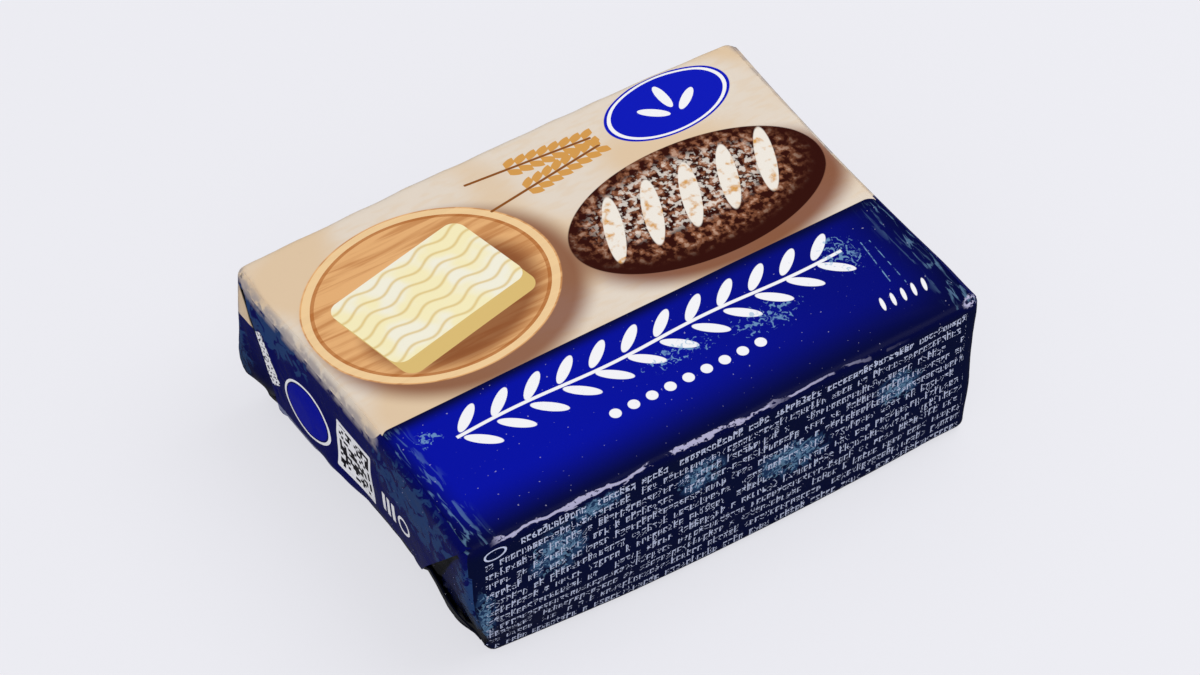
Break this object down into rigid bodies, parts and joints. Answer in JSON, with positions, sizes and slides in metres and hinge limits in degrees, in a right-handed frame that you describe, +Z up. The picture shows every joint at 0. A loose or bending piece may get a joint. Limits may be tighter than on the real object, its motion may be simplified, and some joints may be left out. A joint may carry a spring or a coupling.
{
  "type": "margarine block",
  "caption": "Small block of margarine shut in a folded paper wrapper with envelope-folded ends; lies flat on its lapped underside.",
  "frame": {"origin": "middle of the underside, level with what the block rests on", "axes": "+X along the block's length, +Y towards its back long side, +Z up"},
  "size_m": [0.0996, 0.075, 0.032],
  "materials": {
    "printed_wrapper": "glossy printed laminate"
  },
  "bodies": {
    "root": {"wrapped_block": "printed_wrapper"}
  },
  "joints": []
}
